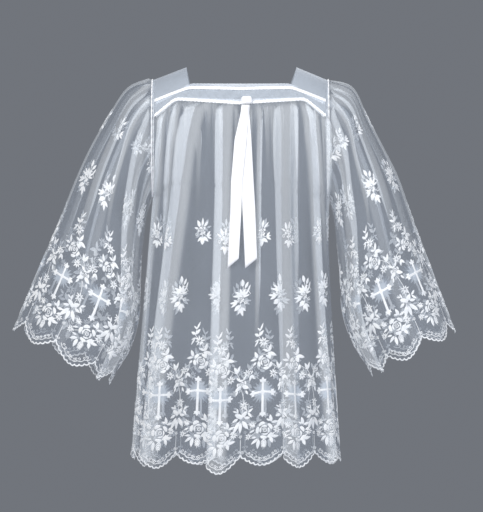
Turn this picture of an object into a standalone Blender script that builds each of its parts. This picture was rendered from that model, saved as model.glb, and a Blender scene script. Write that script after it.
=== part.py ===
"""Lace surplice, standing open as worn but with no wearer inside.

Front and back bodies of net are gathered into two flat yokes below a square
neck, wide bell sleeves are gathered into the armholes, and a satin ribbon is
tied at the middle of the front seam. Metres, +Z up, the front faces -Y, and
the origin is the middle of the shoulders, where the wearer holds it up.
"""
import math

import bmesh
import bpy
from mathutils import Vector

# Cloth
NET_WALL = 0.0016
TAPE_WALL = 0.0012
RIBBON_WALL = 0.0010
SEAM_GAP = 0.0004

# The hem has one scallop for each 100 mm repeat of the lace
BODY_REPEATS = 8
SLEEVE_REPEATS = 8
SCALLOP_DEPTH = 0.032
SCALLOP_POWER = 1.6

# The torso form that the yokes and bodies lie on
FORM_TOP = -0.020
HEM_LEVEL = -0.890
TOP_HALF_WIDTH = 0.203
HEM_FLARE = 0.0345
FLARE_POWER = 1.3
TOP_HALF_DEPTH = {"front": 0.085, "back": 0.082}
DEPTH_FLARE = {"front": 0.088, "back": 0.080}
DEPTH_POWER = 0.6
MIDDLE_X = -0.003
MIDDLE_LEAN = -0.006
FACING = {"front": -1.0, "back": 1.0}

# Armholes: upright ellipses at the ends of the shoulders
ARMHOLE_MIDDLE = -0.165
ARMHOLE_HALF_HEIGHT = 0.135
ARMHOLE_HALF_DEPTH = 0.090

# Top of the neck opening, at the ridge of each shoulder
NECK_RIDGE_HALF_WIDTH = 0.128
NECK_CORNER = 0.58

# Yokes: columns are the share of the half width, the neck edge and the gathered seam
YOKE = {
    "front": (
        (0.00, -0.050, -0.087),
        (NECK_CORNER, -0.047, -0.079),
        (0.74, -0.0585, -0.077),
        (1.00, -0.079, -0.120),
    ),
    "back": (
        (0.00, -0.034, -0.074),
        (NECK_CORNER, -0.034, -0.070),
        (0.74, -0.052, -0.070),
        (1.00, -0.079, -0.115),
    ),
}
TAPE_WIDTH = 0.007
TAPE_END = 0.975

# Folds of the bodies: columns are the turn at the yoke and at the hem (-1 left seam,
# 0 middle, 1 right seam), half width in turns, height of the ridge, how far it starts
# below the seam and where it ends (0 seam, 1 hem)
FOLDS = {
    "front": (
        (-0.72, -0.88, 0.075, 0.006, 0.01, 1.3),
        (-0.40, -0.70, 0.080, -0.006, 0.01, 1.3),
        (-0.31, -0.60, 0.095, 0.014, 0.01, 1.3),
        (-0.22, -0.36, 0.110, -0.006, 0.02, 1.3),
        (-0.11, -0.13, 0.085, 0.011, 0.01, 1.3),
        (0.135, 0.120, 0.060, 0.006, 0.01, 0.7),
        (0.275, 0.340, 0.085, 0.012, 0.01, 1.3),
        (0.400, 0.480, 0.090, -0.006, 0.02, 1.3),
        (0.515, 0.660, 0.080, 0.011, 0.01, 1.3),
        (0.760, 0.850, 0.080, 0.006, 0.01, 1.3),
    ),
    "back": (
        (-0.75, -0.84, 0.085, 0.006, 0.01, 1.3),
        (-0.52, -0.62, 0.095, 0.012, 0.01, 1.3),
        (-0.37, -0.45, 0.090, -0.006, 0.02, 1.3),
        (-0.24, -0.29, 0.085, 0.013, 0.01, 1.3),
        (-0.06, -0.05, 0.080, 0.008, 0.01, 0.8),
        (0.09, 0.14, 0.090, 0.013, 0.01, 1.3),
        (0.25, 0.29, 0.090, -0.006, 0.02, 1.3),
        (0.38, 0.44, 0.085, 0.011, 0.01, 1.3),
        (0.58, 0.70, 0.090, 0.013, 0.01, 1.3),
        (0.80, 0.88, 0.070, 0.006, 0.01, 1.3),
    ),
}
FOLD_RISE = 0.22
FOLD_SPREAD = 0.6

# Sleeves: columns are the ridge line (x, z), the underarm line (x, z), the half depth
# and the middle (y) of each ring, from the armhole down to the hem
SLEEVE_LEFT = (
    (-0.2075, -0.030, -0.2075, -0.300, 0.090, 0.000),
    (-0.262, -0.050, -0.221, -0.345, 0.096, 0.000),
    (-0.306, -0.115, -0.228, -0.395, 0.096, -0.002),
    (-0.350, -0.194, -0.233, -0.450, 0.095, -0.004),
    (-0.384, -0.270, -0.236, -0.505, 0.095, -0.006),
    (-0.424, -0.372, -0.238, -0.575, 0.097, -0.008),
    (-0.462, -0.460, -0.256, -0.646, 0.101, -0.010),
    (-0.508, -0.572, -0.294, -0.712, 0.106, -0.012),
)
SLEEVE_RIGHT = (
    (0.2015, -0.030, 0.2015, -0.300, 0.090, 0.000),
    (0.258, -0.050, 0.214, -0.345, 0.096, 0.000),
    (0.292, -0.118, 0.220, -0.395, 0.096, -0.002),
    (0.334, -0.200, 0.226, -0.450, 0.095, -0.004),
    (0.364, -0.262, 0.230, -0.505, 0.095, -0.006),
    (0.400, -0.366, 0.235, -0.570, 0.097, -0.008),
    (0.434, -0.456, 0.256, -0.634, 0.101, -0.010),
    (0.478, -0.574, 0.292, -0.694, 0.106, -0.012),
)
SLEEVE_LENGTH = 0.62
# Folds of the sleeves: columns are the turn round the sleeve (0 ridge, positive to the
# front, 1 underarm) at the armhole and at the hem, half width in turns, height, and end
SLEEVE_FOLDS = (
    (0.06, 0.13, 0.075, 0.008, 1.3),
    (0.14, 0.38, 0.085, 0.010, 1.3),
    (0.36, 0.62, 0.090, 0.009, 1.3),
    (0.66, 0.84, 0.080, 0.007, 1.3),
    (-0.08, -0.15, 0.085, 0.008, 1.3),
    (-0.24, -0.40, 0.090, 0.010, 1.3),
    (-0.50, -0.64, 0.085, 0.008, 1.3),
    (-0.74, -0.86, 0.070, 0.006, 1.3),
)

# Ribbon: knot size and middle; tails with columns height, left edge, right edge
KNOT_SIZE = (0.024, 0.008, 0.019)
KNOT_ROUNDING = 0.4
KNOT_X = 0.0115
KNOT_Z = -0.0805
TAIL_LEFT = (
    (-0.0915, 0.000, 0.016),
    (-0.108, -0.0015, 0.0165),
    (-0.173, -0.0160, 0.0120),
    (-0.270, -0.0240, 0.0020),
    (-0.330, -0.0255, 0.0000),
    (-0.445, -0.0320, -0.0064),
)
TAIL_RIGHT = (
    (-0.0915, 0.005, 0.019),
    (-0.108, 0.0010, 0.0179),
    (-0.173, -0.0020, 0.0227),
    (-0.270, 0.0005, 0.0280),
    (-0.330, 0.0020, 0.0315),
    (-0.445, 0.0082, 0.0355),
)
TAIL_LIFT = {"ribbon_tail_left": 0.0135, "ribbon_tail_right": 0.0115}
TAIL_SLANT = 0.022

# Mesh counts
BODY_COLUMNS_PER_REPEAT = 6
BODY_ROWS = 9
SLEEVE_COLUMNS_PER_REPEAT = 5
SLEEVE_ROWS = 8
YOKE_COLUMNS = 18
SHOULDER_COLUMNS = 5
SHOULDER_INSET = 0.027
SHOULDER_ROWS = 10
TAIL_COLUMNS = 3
TAIL_ROWS = 10

MATERIALS = {
    "net": ((0.84, 0.87, 0.91, 1.0), 0.85),
    "tape": ((0.95, 0.95, 0.96, 1.0), 0.70),
    "satin": ((0.97, 0.97, 0.98, 1.0), 0.30),
}


def clear_scene():
    for old in list(bpy.data.objects):
        bpy.data.objects.remove(old)


def material(slot):
    found = bpy.data.materials.get(slot)
    if found:
        return found
    colour, roughness = MATERIALS[slot]
    made = bpy.data.materials.new(slot)
    made.use_nodes = True
    shader = made.node_tree.nodes["Principled BSDF"]
    shader.inputs["Base Color"].default_value = colour
    shader.inputs["Roughness"].default_value = roughness
    shader.inputs["Metallic"].default_value = 0.0
    return made


def smooth_step(value):
    clamped = min(1.0, max(0.0, value))
    return clamped * clamped * (3.0 - 2.0 * clamped)


def read_table(rows, key):
    """The columns of a table at a key, on straight lines between its rows."""
    for low, high in zip(rows, rows[1:]):
        if key <= high[0]:
            break
    share = (key - low[0]) / (high[0] - low[0])
    return [a + (b - a) * share for a, b in zip(low[1:], high[1:])]


def wall(name, grid, thickness, slot, closed=False, lift=0.0):
    """A closed wall of even thickness about a grid of points, moved out by lift."""
    rows = len(grid)
    columns = len(grid[0])
    normals = []
    for r in range(rows):
        line = []
        for c in range(columns):
            before = grid[r][(c - 1) % columns] if closed else grid[r][max(c - 1, 0)]
            after = grid[r][(c + 1) % columns] if closed else grid[r][min(c + 1, columns - 1)]
            above = grid[max(r - 1, 0)][c]
            below = grid[min(r + 1, rows - 1)][c]
            line.append((after - before).cross(above - below).normalized())
        normals.append(line)
    mesh = bmesh.new()
    faces = {}
    for face, shift in (("outer", lift + thickness / 2), ("inner", lift - thickness / 2)):
        faces[face] = [
            [mesh.verts.new(grid[r][c] + normals[r][c] * shift) for c in range(columns)]
            for r in range(rows)
        ]
    spans = columns if closed else columns - 1
    outer, inner = faces["outer"], faces["inner"]
    for r in range(rows - 1):
        for c in range(spans):
            d = (c + 1) % columns
            mesh.faces.new((outer[r][c], outer[r + 1][c], outer[r + 1][d], outer[r][d]))
            mesh.faces.new((inner[r][c], inner[r][d], inner[r + 1][d], inner[r + 1][c]))
    for c in range(spans):
        d = (c + 1) % columns
        mesh.faces.new((outer[0][c], outer[0][d], inner[0][d], inner[0][c]))
        mesh.faces.new((outer[-1][c], inner[-1][c], inner[-1][d], outer[-1][d]))
    if not closed:
        for r in range(rows - 1):
            mesh.faces.new((outer[r][0], inner[r][0], inner[r + 1][0], outer[r + 1][0]))
            mesh.faces.new((outer[r][-1], outer[r + 1][-1], inner[r + 1][-1], inner[r][-1]))
    bmesh.ops.recalc_face_normals(mesh, faces=mesh.faces)
    return finish(name, mesh, slot)


def finish(name, mesh, slot):
    data = bpy.data.meshes.new(name)
    mesh.to_mesh(data)
    mesh.free()
    data.shade_smooth()
    data.materials.append(material(slot))
    made = bpy.data.objects.new(name, data)
    bpy.context.scene.collection.objects.link(made)
    return made


# Torso form

def form_share(z):
    return max(0.0, (FORM_TOP - z) / (FORM_TOP - HEM_LEVEL))


def skirt_share(z):
    """0 down to the underarm, then growing to 1 at the hem."""
    underarm = ARMHOLE_MIDDLE - ARMHOLE_HALF_HEIGHT
    return max(0.0, (underarm - z) / (underarm - HEM_LEVEL))


def half_width(z):
    return TOP_HALF_WIDTH + HEM_FLARE * skirt_share(z) ** FLARE_POWER


def half_depth(side, z):
    return TOP_HALF_DEPTH[side] + DEPTH_FLARE[side] * form_share(z) ** DEPTH_POWER


def armhole_reach(z):
    """Half depth of the armhole at a height, and nothing below the underarm."""
    share = (z - ARMHOLE_MIDDLE) / ARMHOLE_HALF_HEIGHT
    return ARMHOLE_HALF_DEPTH * math.sqrt(max(0.0, 1.0 - share * share))


def form_point(side, share, z, out=0.0):
    """A point of the torso form; share is -1 at the left edge and 1 at the right edge."""
    edge = armhole_reach(z) + SEAM_GAP
    bulge = math.sqrt(max(0.0, 1.0 - share * share))
    width = half_width(z)
    depth = half_depth(side, z) - edge
    x = MIDDLE_X + MIDDLE_LEAN * skirt_share(z) + (width + out) * share
    y = FACING[side] * (edge + (depth + out) * bulge)
    return Vector((x, y, z))


def scallop(repeats):
    """Depth of the scalloped hem at a place counted in repeats from a notch."""
    place = abs(2.0 * (repeats % 1.0) - 1.0)
    return SCALLOP_DEPTH * (1.0 - place ** SCALLOP_POWER)


def fold_bump(offset):
    return 0.5 * (1.0 + math.cos(math.pi * offset)) if abs(offset) < 1.0 else 0.0


# Bodies, yokes and shoulders

def body_folds(side, turn, down):
    height = 0.0
    for top, hem, reach, ridge, start, end in FOLDS[side]:
        middle = top + (hem - top) * down ** FOLD_SPREAD
        rise = smooth_step((down - start) / FOLD_RISE) * smooth_step((end - down) / FOLD_RISE)
        height += ridge * rise * fold_bump((turn - middle) / reach)
    return height


def body_point(side, turn, down):
    share = math.sin(turn * math.pi / 2)
    seam = read_table(YOKE[side], abs(share))[1] - SEAM_GAP
    hem = HEM_LEVEL - scallop(turn * BODY_REPEATS / 2)
    z = seam + (hem - seam) * down
    return form_point(side, share, z, body_folds(side, turn, down))


def columns_of(side, count):
    """Places from one edge to the other, counter-clockwise as seen from above."""
    places = [2.0 * c / count - 1.0 for c in range(count + 1)]
    return places if side == "front" else places[::-1]


def make_body(side):
    columns = columns_of(side, BODY_REPEATS * BODY_COLUMNS_PER_REPEAT)
    grid = [
        [body_point(side, turn, row / BODY_ROWS) for turn in columns]
        for row in range(BODY_ROWS + 1)
    ]
    return wall("body_" + side, grid, NET_WALL, "net")


def yoke_shares(side, limit=1.0):
    corners = {row[0] for row in YOKE[side]}
    steps = {abs(2.0 * c / YOKE_COLUMNS - 1.0) for c in range(YOKE_COLUMNS + 1)}
    near = 0.5 / YOKE_COLUMNS
    half = corners | {s for s in steps if all(abs(s - c) > near for c in corners)}
    ordered = sorted(min(share, limit) for share in half)
    whole = [-share for share in ordered[:0:-1]] + ordered
    return whole if side == "front" else whole[::-1]


def yoke_line(side, column, drop, limit=1.0):
    """A line across the torso, a drop below the neck edge (0) or the seam (1)."""
    line = []
    for share in yoke_shares(side, limit):
        level = read_table(YOKE[side], abs(share))[column]
        line.append(form_point(side, share, level - drop))
    return line


def make_yoke(side):
    grid = [
        yoke_line(side, 0, 0.0),
        yoke_line(side, 0, TAPE_WIDTH),
        yoke_line(side, 1, -TAPE_WIDTH / 2),
        yoke_line(side, 1, -SEAM_GAP),
    ]
    return wall("yoke_" + side, grid, NET_WALL, "net")


def make_tape(side, which):
    """Tape over the neck edge or the gathered seam, laid outside the net."""
    column, above = {"neck": (0, 0.0), "gather": (1, TAPE_WIDTH / 2)}[which]
    grid = [yoke_line(side, column, drop - above, TAPE_END) for drop in (0.0, TAPE_WIDTH)]
    lift = NET_WALL / 2 + TAPE_WALL / 2 + 2 * SEAM_GAP
    return wall(which + "_tape_" + side, grid, TAPE_WALL, "tape", lift=lift)


def shoulder_point(hand, share, angle):
    """The flat over one shoulder: angle 0 on the ridge, negative to the front."""
    side = "front" if angle < 0 else "back"
    neck = read_table(YOKE[side], share)[0]
    seam = form_point(side, hand * share, neck)
    low = YOKE[side][-1][1]
    seam_angle = math.acos((low - ARMHOLE_MIDDLE) / ARMHOLE_HALF_HEIGHT)
    turn = abs(angle) * seam_angle
    climb = (math.cos(turn) - math.cos(seam_angle)) / (1.0 - math.cos(seam_angle))
    across = (share - NECK_CORNER) / (1.0 - NECK_CORNER)
    neck_ridge = Vector((hand * NECK_RIDGE_HALF_WIDTH, 0.0, 0.0))
    arm_ridge = Vector((
        MIDDLE_X + hand * TOP_HALF_WIDTH, 0.0, ARMHOLE_MIDDLE + ARMHOLE_HALF_HEIGHT))
    ridge = neck_ridge.lerp(arm_ridge, across)
    x = seam.x + (ridge.x - seam.x) * climb
    y = seam.y * math.sin(turn) / math.sin(seam_angle)
    z = seam.z + (ridge.z - seam.z) * climb
    return Vector((x, y, z))


def make_shoulder(name, hand):
    inset = 1.0 - SHOULDER_INSET
    angles = [inset * (2.0 * r / SHOULDER_ROWS - 1.0) for r in range(SHOULDER_ROWS + 1)]
    shares = [
        NECK_CORNER + (1.0 - NECK_CORNER) * c / SHOULDER_COLUMNS
        for c in range(SHOULDER_COLUMNS + 1)
    ]
    grid = [
        [shoulder_point(hand, share, angle) for share in shares[::int(hand)]]
        for angle in angles[::-1]
    ]
    return wall(name, grid, NET_WALL, "net")


# Sleeves

def sleeve_folds(turn, down):
    height = 0.0
    for top, hem, reach, ridge, end in SLEEVE_FOLDS:
        middle = top + (hem - top) * down
        rise = smooth_step(down / FOLD_RISE) * smooth_step((end - down) / FOLD_RISE)
        height += ridge * rise * fold_bump((turn - middle) / reach)
    return height


def sleeve_point(rings, turn, down):
    """A point of a sleeve; down runs past 1 into the scallops of the hem."""
    place = down * (len(rings) - 1)
    index = min(int(place), len(rings) - 2)
    low, high = rings[index], rings[index + 1]
    mix = [a + (b - a) * (place - index) for a, b in zip(low, high)]
    ridge = Vector((mix[0], mix[5], mix[1]))
    under = Vector((mix[2], mix[5], mix[3]))
    reach = (ridge - under) / 2
    angle = turn * math.pi
    out = sleeve_folds(turn, down)
    long_way = reach * (1.0 + out / reach.length) * math.cos(angle)
    deep_way = Vector((0.0, -(mix[4] + out) * math.sin(angle), 0.0))
    return (ridge + under) / 2 + long_way + deep_way


def make_sleeve(name, rings, hand):
    count = SLEEVE_REPEATS * SLEEVE_COLUMNS_PER_REPEAT
    turns = [hand * (2.0 * c / count - 1.0) for c in range(count)]
    grid = []
    for row in range(SLEEVE_ROWS + 1):
        line = []
        for turn in turns:
            length = 1.0 + scallop(turn * SLEEVE_REPEATS / 2) / SLEEVE_LENGTH
            line.append(sleeve_point(rings, turn, length * row / SLEEVE_ROWS))
        grid.append(line)
    return wall(name, grid, NET_WALL, "net", closed=True)


# Ribbon

def make_knot():
    foot = KNOT_Z - KNOT_SIZE[2] / 2
    tape_face = form_point("front", KNOT_X / TOP_HALF_WIDTH, foot).y
    tape_face -= NET_WALL / 2 + TAPE_WALL + 4 * SEAM_GAP
    mesh = bmesh.new()
    bmesh.ops.create_cube(mesh, size=1.0)
    bmesh.ops.scale(mesh, vec=KNOT_SIZE, verts=mesh.verts)
    corner = KNOT_ROUNDING * KNOT_SIZE[1]
    bmesh.ops.bevel(mesh, geom=mesh.edges[:], offset=corner, segments=2, affect="EDGES")
    middle = Vector((KNOT_X, tape_face - KNOT_SIZE[1] / 2, KNOT_Z))
    bmesh.ops.translate(mesh, vec=middle, verts=mesh.verts)
    return finish("ribbon_knot", mesh, "satin")


def make_tail(name, rows):
    grid = []
    top, bottom = rows[0][0], rows[-1][0]
    falling = sorted((-z, left, right) for z, left, right in rows)
    for r in range(TAIL_ROWS + 1):
        z = top + (bottom - top) * r / TAIL_ROWS
        left, right = read_table(falling, -z)
        line = []
        for c in range(TAIL_COLUMNS + 1):
            x = left + (right - left) * c / TAIL_COLUMNS
            slant = TAIL_SLANT * (1.0 - c / TAIL_COLUMNS) * (r == TAIL_ROWS)
            share = (x - MIDDLE_X) / half_width(z)
            surface = form_point("front", share, z - slant)
            line.append(Vector((x, surface.y, z - slant)))
        grid.append(line)
    return wall(name, grid, RIBBON_WALL, "satin", lift=TAIL_LIFT[name])


def main():
    clear_scene()
    for side in ("front", "back"):
        make_body(side)
        make_yoke(side)
        make_tape(side, "neck")
        make_tape(side, "gather")
    make_shoulder("shoulder_left", -1.0)
    make_shoulder("shoulder_right", 1.0)
    make_sleeve("sleeve_left", SLEEVE_LEFT, -1.0)
    make_sleeve("sleeve_right", SLEEVE_RIGHT, 1.0)
    make_knot()
    make_tail("ribbon_tail_left", TAIL_LEFT)
    make_tail("ribbon_tail_right", TAIL_RIGHT)


main()
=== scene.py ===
"""Looks of the lace surplice: sheer net in its folds, raised embroidery, tapes and ribbon.

Every cloth is first laid out on a fine grid of points that follows the folds, then the
net and the embroidery are placed on that grid by their flat place on the cloth: how far
across it and how far above the hem. Metres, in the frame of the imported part.
"""
import math
import random

import bpy
import numpy as np
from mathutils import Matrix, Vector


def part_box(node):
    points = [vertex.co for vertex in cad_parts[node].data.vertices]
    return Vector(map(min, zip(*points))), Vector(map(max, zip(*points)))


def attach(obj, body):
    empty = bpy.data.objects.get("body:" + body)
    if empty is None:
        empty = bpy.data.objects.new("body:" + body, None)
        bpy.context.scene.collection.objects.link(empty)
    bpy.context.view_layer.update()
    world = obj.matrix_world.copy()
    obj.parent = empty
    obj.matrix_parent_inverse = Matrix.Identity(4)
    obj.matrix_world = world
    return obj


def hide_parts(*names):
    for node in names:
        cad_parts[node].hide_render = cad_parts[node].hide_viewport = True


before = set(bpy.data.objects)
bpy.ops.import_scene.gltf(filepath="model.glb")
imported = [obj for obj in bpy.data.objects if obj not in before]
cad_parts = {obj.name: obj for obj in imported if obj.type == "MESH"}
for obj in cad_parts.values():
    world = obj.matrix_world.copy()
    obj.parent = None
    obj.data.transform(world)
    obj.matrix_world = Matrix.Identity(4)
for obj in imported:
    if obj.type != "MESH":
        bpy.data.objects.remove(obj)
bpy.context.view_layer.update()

MM = 0.001

# The torso form, armholes, yokes and sleeves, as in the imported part
SEAM_GAP = 0.0004
FORM_TOP = -0.020
HEM_LEVEL = -0.890
TOP_HALF_WIDTH = 0.203
HEM_FLARE = 0.0345
FLARE_POWER = 1.3
TOP_HALF_DEPTH = {"front": 0.085, "back": 0.082}
DEPTH_FLARE = {"front": 0.088, "back": 0.080}
DEPTH_POWER = 0.6
MIDDLE_X = -0.003
MIDDLE_LEAN = -0.006
FACING = {"front": -1.0, "back": 1.0}
ARMHOLE_MIDDLE = -0.165
ARMHOLE_HALF_HEIGHT = 0.135
ARMHOLE_HALF_DEPTH = 0.090
UNDERARM = ARMHOLE_MIDDLE - ARMHOLE_HALF_HEIGHT
UNDERARM_FADE = 1.45
RIM_POWER = 6
NECK_RIDGE_HALF_WIDTH = 0.128
NECK_CORNER = 0.58
CORNER_STEPS = (-0.045, -0.03, -0.015, 0.0, 0.015, 0.03, 0.045)
# Columns: share of the half width, neck edge, gathered seam
YOKE = {
    "front": np.array((
        (0.00, -0.050, -0.087),
        (NECK_CORNER, -0.047, -0.079),
        (0.74, -0.0585, -0.077),
        (1.00, -0.079, -0.120),
    )),
    "back": np.array((
        (0.00, -0.034, -0.074),
        (NECK_CORNER, -0.034, -0.070),
        (0.74, -0.052, -0.070),
        (1.00, -0.079, -0.115),
    )),
}
# Columns: ridge line (x, z), underarm line (x, z), half depth, middle (y)
SLEEVES = {
    "left": np.array((
        (-0.2075, -0.030, -0.2075, -0.300, 0.090, 0.000),
        (-0.262, -0.050, -0.221, -0.345, 0.096, 0.000),
        (-0.306, -0.115, -0.228, -0.395, 0.096, -0.002),
        (-0.350, -0.194, -0.233, -0.450, 0.095, -0.004),
        (-0.384, -0.270, -0.236, -0.505, 0.095, -0.006),
        (-0.424, -0.372, -0.238, -0.575, 0.097, -0.008),
        (-0.462, -0.460, -0.256, -0.646, 0.101, -0.010),
        (-0.508, -0.572, -0.294, -0.712, 0.106, -0.012),
    )),
    "right": np.array((
        (0.2015, -0.030, 0.2015, -0.300, 0.090, 0.000),
        (0.258, -0.050, 0.214, -0.345, 0.096, 0.000),
        (0.292, -0.118, 0.220, -0.395, 0.096, -0.002),
        (0.334, -0.200, 0.226, -0.450, 0.095, -0.004),
        (0.364, -0.262, 0.230, -0.505, 0.095, -0.006),
        (0.400, -0.366, 0.235, -0.570, 0.097, -0.008),
        (0.434, -0.456, 0.256, -0.634, 0.101, -0.010),
        (0.478, -0.574, 0.292, -0.694, 0.106, -0.012),
    )),
}
SLEEVE_LENGTH = 0.62

# The lace: one scallop, one cross and its flowers repeat every 100 mm
REPEAT = 0.100
REPEATS = 8
CLOTH_WIDTH = REPEAT * REPEATS
SCALLOP_DEPTH = 0.032
SCALLOP_POWER = 1.6
CROSS_ABOVE_HEM = 0.167
BODY_PHASE = {"front": 0.58, "back": 0.42}
SLEEVE_PHASE = {"left": 0.47, "right": 0.43}

# Fineness of the grids and of the net
FINE_COLUMNS = 641
FINE_ROWS = 240
CURVE_SAMPLES = 1601
CLIMB_STEP = 0.0025
NET_COLUMNS_PER_REPEAT = 72
BODY_NET_ROWS = 130
SLEEVE_NET_ROWS = 110


# --- Numbers ---------------------------------------------------------------------------

def smooth_step(value):
    clamped = np.clip(value, 0.0, 1.0)
    return clamped * clamped * (3.0 - 2.0 * clamped)


def signed_power(value, power):
    return math.copysign(abs(value) ** power, value)


def bump(offset):
    return np.where(np.abs(offset) < 1.0, 0.5 * (1.0 + np.cos(np.pi * offset)), 0.0)


def smooth_rows(table, place):
    """The columns of a table at a place counted in rows, on a smooth curve through them."""
    last = len(table) - 1
    index = int(min(max(place, 0.0), last - 1e-9))
    share = place - index
    slopes = np.gradient(table, axis=0)
    a, b = table[index], table[index + 1]
    u, v = slopes[index], slopes[index + 1]
    if share > 1.0:
        return b + v * (share - 1.0)
    square, cube = share ** 2, share ** 3
    return (
        a * (2 * cube - 3 * square + 1) + u * (cube - 2 * square + share)
        + b * (3 * square - 2 * cube) + v * (cube - square)
    )


def away(x, y, reach, angle):
    """The flat place at a distance from another, at an angle in degrees."""
    turn = math.radians(angle)
    return x + reach * math.cos(turn), y + reach * math.sin(turn)


# --- Cloth laid out on a fine grid ------------------------------------------------------

class Cloth:
    """A piece of net, by its flat place: across from its middle, and above its hem line."""

    def __init__(self, rows):
        even = np.stack([even_columns(row) for row in rows])
        self.points = even[:, :, :3]
        # Fourth column: the mask of a painted highlight, high where the folds lie in layers
        self.fold_highlight = even[:, :, 3]
        across = np.gradient(self.points, axis=1)
        down = np.gradient(self.points, axis=0)
        normals = np.cross(down, across)
        self.normals = normals / np.linalg.norm(normals, axis=2, keepdims=True)
        steps = np.linalg.norm(np.diff(self.points, axis=0), axis=2)
        climbed = np.cumsum(steps[::-1], axis=0)[::-1]
        self.above = np.vstack([climbed, np.zeros((1, climbed.shape[1]))])
        self.length = self.above[0]
        heights = np.arange(0.0, self.length.max() + CLIMB_STEP, CLIMB_STEP)
        index = np.arange(len(self.points), dtype=float)
        self.row_at = np.stack(
            [np.interp(heights, column[::-1], index[::-1]) for column in self.above.T], axis=1)

    def length_at(self, across):
        columns = np.linspace(-CLOTH_WIDTH / 2, CLOTH_WIDTH / 2, self.points.shape[1])
        return np.interp(across, columns, self.length)

    def find(self, across, above):
        """Row and column on the fine grid of a flat place."""
        rows, columns = self.points.shape[:2]
        c = np.clip((across / CLOTH_WIDTH + 0.5) * (columns - 1), 0, columns - 1.0001)
        k = np.clip(above / CLIMB_STEP, 0, len(self.row_at) - 1.0001)
        return np.clip(mix_grid(self.row_at, k, c), 0, rows - 1.0001), c

    # The mask of the painted highlight at flat places on the cloth
    def fold_highlight_at(self, across, above):
        return np.clip(mix_grid(self.fold_highlight, *self.find(across, above)), 0.0, 1.0)

    def place(self, across, above, out=0.0):
        """Points on the cloth, moved out from its face."""
        r, c = self.find(across, above)
        spot = mix_grid(self.points, r, c)
        facing = mix_grid(self.normals, r, c)
        facing /= np.linalg.norm(facing, axis=-1, keepdims=True)
        return spot + facing * np.asarray(out)[..., None]


def mix_grid(grid, row, column):
    r = row.astype(int)
    c = column.astype(int)
    u = row - r
    v = column - c
    if grid.ndim == 3:
        u = u[..., None]
        v = v[..., None]
    low = grid[r, c] * (1 - v) + grid[r, c + 1] * v
    high = grid[r + 1, c] * (1 - v) + grid[r + 1, c + 1] * v
    return low * (1 - u) + high * u


def even_columns(curve):
    """The curve at evenly spaced lengths, as the width of the cloth lies along it."""
    steps = np.linalg.norm(np.diff(curve[:, :3], axis=0), axis=1)
    run = np.concatenate([[0.0], np.cumsum(steps)])
    wanted = np.linspace(0.0, run[-1], FINE_COLUMNS)
    return np.stack([np.interp(wanted, run, column) for column in curve.T], axis=1)


# --- Torso form -------------------------------------------------------------------------

def form_share(z):
    return np.maximum(0.0, (FORM_TOP - z) / (FORM_TOP - HEM_LEVEL))


def skirt_share(z):
    return np.maximum(0.0, (UNDERARM - z) / (UNDERARM - HEM_LEVEL))


def half_width(z):
    return TOP_HALF_WIDTH + HEM_FLARE * skirt_share(z) ** FLARE_POWER


def half_depth(side, z):
    return TOP_HALF_DEPTH[side] + DEPTH_FLARE[side] * form_share(z) ** DEPTH_POWER


def armhole_reach(z):
    share = (z - ARMHOLE_MIDDLE) / ARMHOLE_HALF_HEIGHT
    return ARMHOLE_HALF_DEPTH * np.sqrt(np.maximum(0.0, 1.0 - share * share))


def soft_reach(z):
    """The armhole's reach as it fades into the panel, with no kink under the arm."""
    share = (z - ARMHOLE_MIDDLE) / (ARMHOLE_HALF_HEIGHT * UNDERARM_FADE)
    faded = ARMHOLE_HALF_DEPTH * np.maximum(0.0, 1.0 - share * share) ** 2
    return np.where(z > ARMHOLE_MIDDLE, armhole_reach(z), faded)


def form_points(side, share, z, out=0.0):
    """Points of the torso form; share is -1 at the left edge and 1 at the right edge."""
    share = np.asarray(share, dtype=float)
    z = np.broadcast_to(np.asarray(z, dtype=float), share.shape)
    rim = np.abs(share) ** RIM_POWER
    edge = SEAM_GAP + armhole_reach(z) * rim + soft_reach(z) * (1.0 - rim)
    bulge = np.sqrt(np.maximum(0.0, 1.0 - share * share))
    x = MIDDLE_X + MIDDLE_LEAN * skirt_share(z) + (half_width(z) + out) * share
    y = FACING[side] * (edge + (half_depth(side, z) - edge + out) * bulge)
    return np.stack([x, y, z], axis=-1)


def yoke_height(side, share, column):
    """Height of a yoke line, with its corners rounded a little."""
    table = YOKE[side]
    near = [np.interp(np.minimum(np.abs(share + step), 1.0), table[:, 0], table[:, column])
            for step in CORNER_STEPS]
    return np.mean(near, axis=0)


# --- Folds of the bodies ----------------------------------------------------------------

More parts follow.
